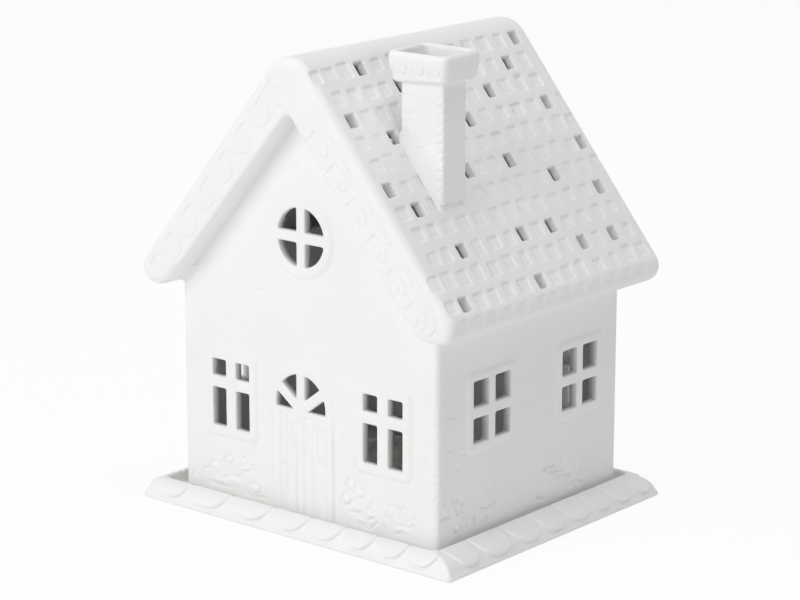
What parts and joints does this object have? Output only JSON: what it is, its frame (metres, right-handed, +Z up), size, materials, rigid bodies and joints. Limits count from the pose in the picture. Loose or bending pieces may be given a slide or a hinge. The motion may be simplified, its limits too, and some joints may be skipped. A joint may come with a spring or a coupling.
{
  "type": "tealight house",
  "caption": "White ceramic cottage-shaped tealight holder with a perforated roof, open windows and a hollow chimney, standing in a scalloped tray.",
  "frame": {"origin": "centre of the tray's flat underside", "axes": "+Z up; -Y out of the door's gable; +X towards the roof slope that carries the chimney"},
  "size_m": [0.1472, 0.1252, 0.1759],
  "materials": {
    "bisque_tray": "matte white bisque",
    "bisque_house": "matte white bisque",
    "cup_metal": "bright pressed foil",
    "wax": "smooth, slightly see-through",
    "wick_cotton": "waxed cotton",
    "sustainer_steel": "tinned"
  },
  "bodies": {
    "tray": {"base_tray": "bisque_tray"},
    "house": {"house_shell": "bisque_house", "chimney": "bisque_house"},
    "tealight": {"tealight_cup": "cup_metal", "tealight_wax": "wax", "tealight_wick": "wick_cotton", "wick_sustainer": "sustainer_steel"}
  },
  "joints": [
    {"name": "house_lift", "type": "slide", "parent": "tray", "child": "house", "axis": [0, 0, 1], "range_m": [0, 0.12]},
    {"name": "tealight_lift", "type": "slide", "parent": "tray", "child": "tealight", "axis": [0, 0, 1], "range_m": [0, 0.06]}
  ]
}
